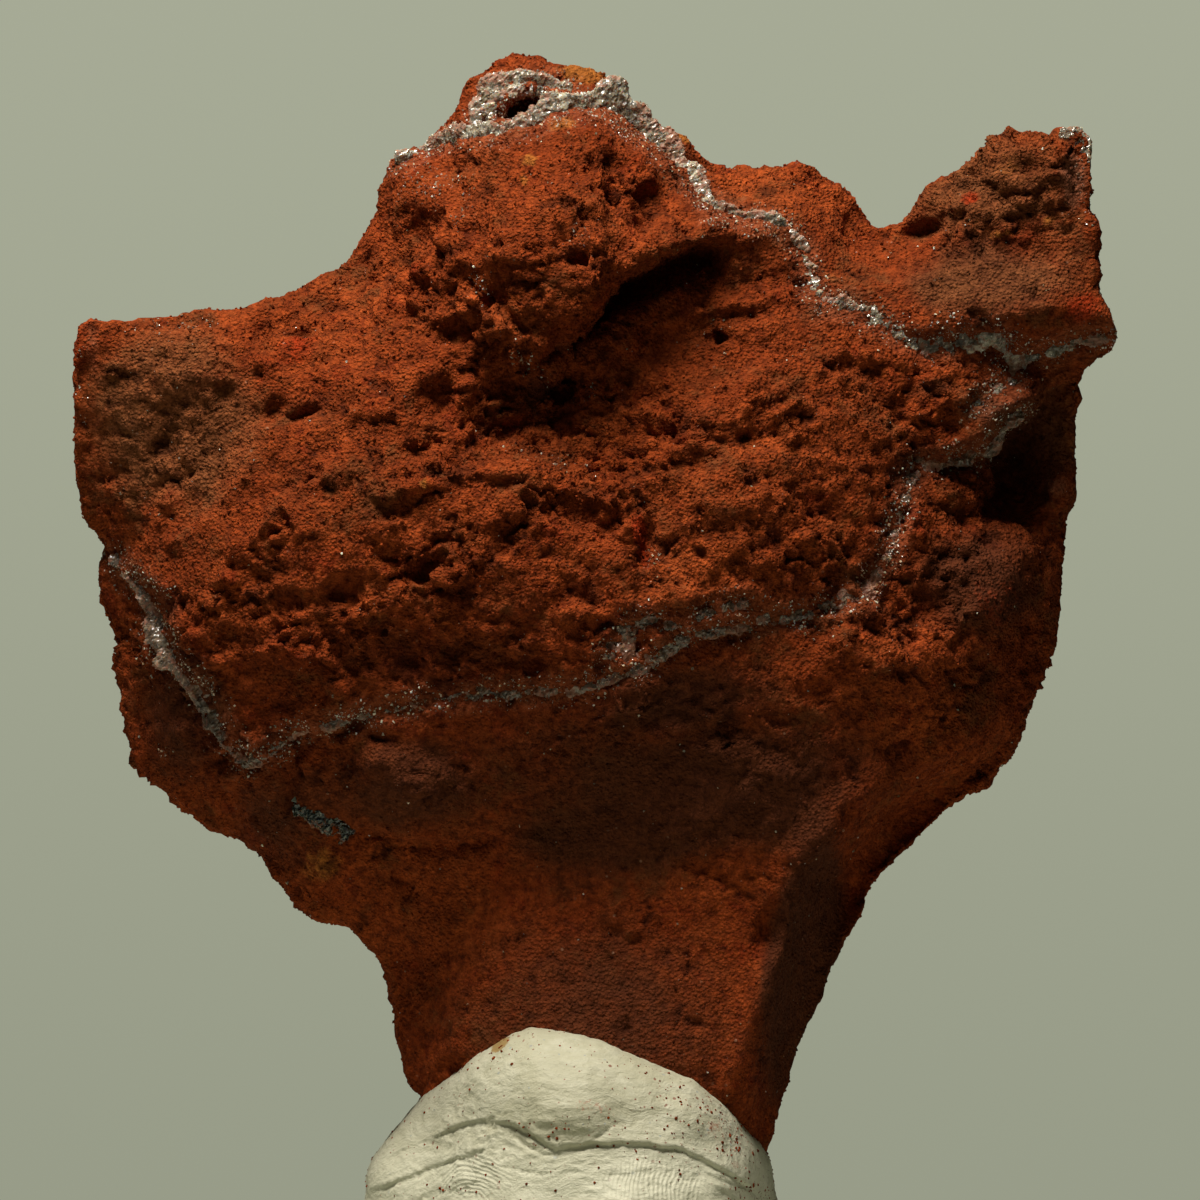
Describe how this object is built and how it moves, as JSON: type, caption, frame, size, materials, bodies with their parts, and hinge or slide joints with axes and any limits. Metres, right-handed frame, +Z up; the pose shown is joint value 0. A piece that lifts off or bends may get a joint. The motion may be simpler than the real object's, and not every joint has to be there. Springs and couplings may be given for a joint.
{
  "type": "calcite and hematite mineral specimen",
  "caption": "Hand-sized block of porous brick-red hematite rock, ringed by a seam of small calcite crystals and standing on its narrow end in a lump of pale putty.",
  "frame": {"origin": "on the flat underside of the putty, below the middle of the specimen", "axes": "+Z up from the table along the specimen's height, +X to the right as seen by a viewer who faces the calcite seams, +Y away from that viewer"},
  "size_m": [0.1039, 0.0483, 0.126],
  "materials": {
    "hematite_rock": "rough, porous and earthy, brick red to dark brown",
    "calcite": "small glassy crystals, clear to milky white with grey and pink parts",
    "putty": "matt, creamy, kneaded, with folds, finger prints and specks of red rock dust"
  },
  "bodies": {
    "root": {"matrix": "hematite_rock", "calcite_vein_upper": "calcite", "calcite_vein_lower": "calcite", "calcite_horn_tip": "calcite", "calcite_dark_druse": "calcite", "mounting_putty": "putty"}
  },
  "joints": []
}
